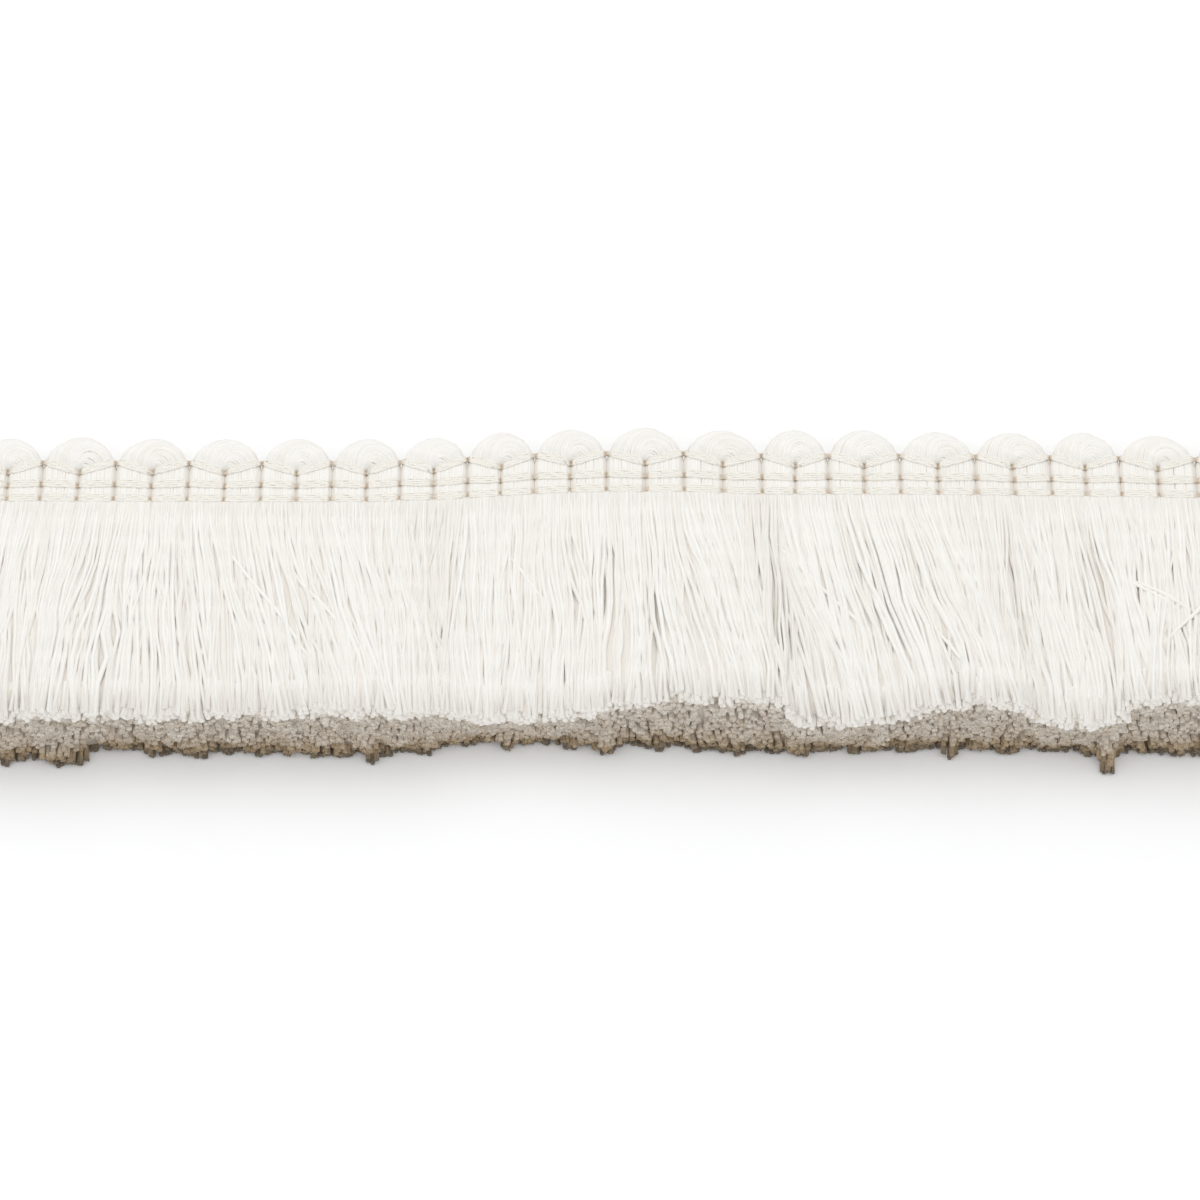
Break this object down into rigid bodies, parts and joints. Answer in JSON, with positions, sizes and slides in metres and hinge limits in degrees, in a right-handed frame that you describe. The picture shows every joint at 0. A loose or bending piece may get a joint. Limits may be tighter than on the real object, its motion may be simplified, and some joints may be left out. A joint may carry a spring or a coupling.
{
  "type": "brush fringe trim",
  "caption": "Cut length of ivory brush fringe trim: a narrow bound heading with a scalloped edge of yarn loops and a thick cut brush of soft straight yarn.",
  "frame": {"origin": "middle of the heading's flat back, half way along the trim", "axes": "+X along the trim, +Y out of the scalloped loop edge, +Z out of the trim's face; the brush points along -Y and its cut end faces -Y"},
  "size_m": [0.1349, 0.0395, 0.009],
  "materials": {
    "weft_yarn": "soft, slightly lustrous ivory yarn",
    "binding_yarn": "fine matt ecru thread"
  },
  "bodies": {
    "root": {"weft_bundle_01": "weft_yarn", "weft_bundle_02": "weft_yarn", "weft_bundle_03": "weft_yarn", "weft_bundle_04": "weft_yarn", "weft_bundle_05": "weft_yarn", "weft_bundle_06": "weft_yarn", "weft_bundle_07": "weft_yarn", "weft_bundle_08": "weft_yarn", "weft_bundle_09": "weft_yarn", "weft_bundle_10": "weft_yarn", "weft_bundle_11": "weft_yarn", "weft_bundle_12": "weft_yarn", "weft_bundle_13": "weft_yarn", "weft_bundle_14": "weft_yarn", "weft_bundle_15": "weft_yarn", "weft_bundle_16": "weft_yarn", "weft_bundle_17": "weft_yarn", "weft_bundle_18": "weft_yarn", "binding_thread_top": "binding_yarn", "binding_thread_middle": "binding_yarn", "binding_thread_bottom": "binding_yarn"}
  },
  "joints": []
}
